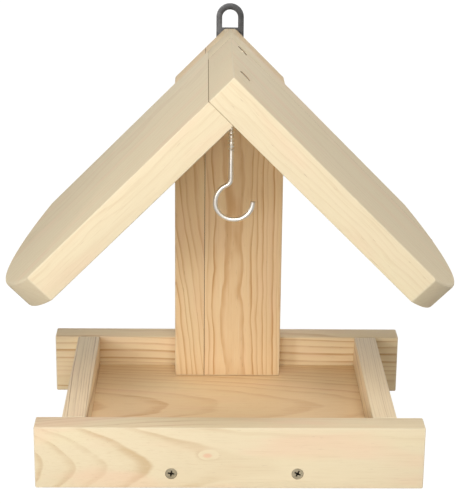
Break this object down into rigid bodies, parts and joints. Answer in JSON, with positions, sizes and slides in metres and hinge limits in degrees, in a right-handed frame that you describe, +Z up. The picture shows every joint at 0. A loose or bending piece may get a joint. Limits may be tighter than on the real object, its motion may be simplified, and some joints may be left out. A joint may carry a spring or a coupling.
{
  "type": "bird feeder",
  "caption": "Wall-hung wooden bird feeder: open seed tray, upright post with a hanger plate, and a pitched roof with round eaves and a screw hook under the ridge.",
  "frame": {"origin": "on the ground, under the middle of the feeder's overall box", "axes": "+Z up the post, +Y back towards the wall, +X to the right seen from the front"},
  "size_m": [0.2814, 0.1812, 0.275],
  "materials": {
    "pale_pine": "planed, untreated",
    "warm_pine": "planed, untreated",
    "hook_zinc": "bright zinc-plated wire",
    "plate_zinc": "dull galvanised sheet",
    "screw_zinc": "yellow zinc-plated"
  },
  "bodies": {
    "feeder": {"front_rail": "pale_pine", "back_rail": "pale_pine", "left_side_strip": "pale_pine", "right_side_strip": "pale_pine", "left_roof_board": "pale_pine", "right_roof_front_stave": "pale_pine", "right_roof_rear_stave": "pale_pine", "floor_board": "warm_pine", "post_narrow_stave": "warm_pine", "post_wide_stave": "warm_pine", "hanger_plate": "plate_zinc", "front_rail_screw_left": "screw_zinc", "back_rail_screw_left": "screw_zinc", "post_foot_screw_left": "screw_zinc", "roof_screw_left": "screw_zinc", "left_strip_screw_front": "screw_zinc", "left_strip_screw_rear": "screw_zinc", "front_rail_screw_right": "screw_zinc", "back_rail_screw_right": "screw_zinc", "post_foot_screw_right": "screw_zinc", "roof_screw_right": "screw_zinc", "right_strip_screw_front": "screw_zinc", "right_strip_screw_rear": "screw_zinc", "ridge_screw_front": "screw_zinc", "ridge_screw_rear": "screw_zinc", "hanger_screw_upper": "screw_zinc", "hanger_screw_lower": "screw_zinc"},
    "hook": {"screw_hook": "hook_zinc"}
  },
  "joints": [
    {"name": "hook_turn", "type": "hinge", "parent": "feeder", "child": "hook", "pos_m": [0, -0.0181, 0.18], "axis": [0, 0, 1], "range_deg": [-180, 180]}
  ]
}
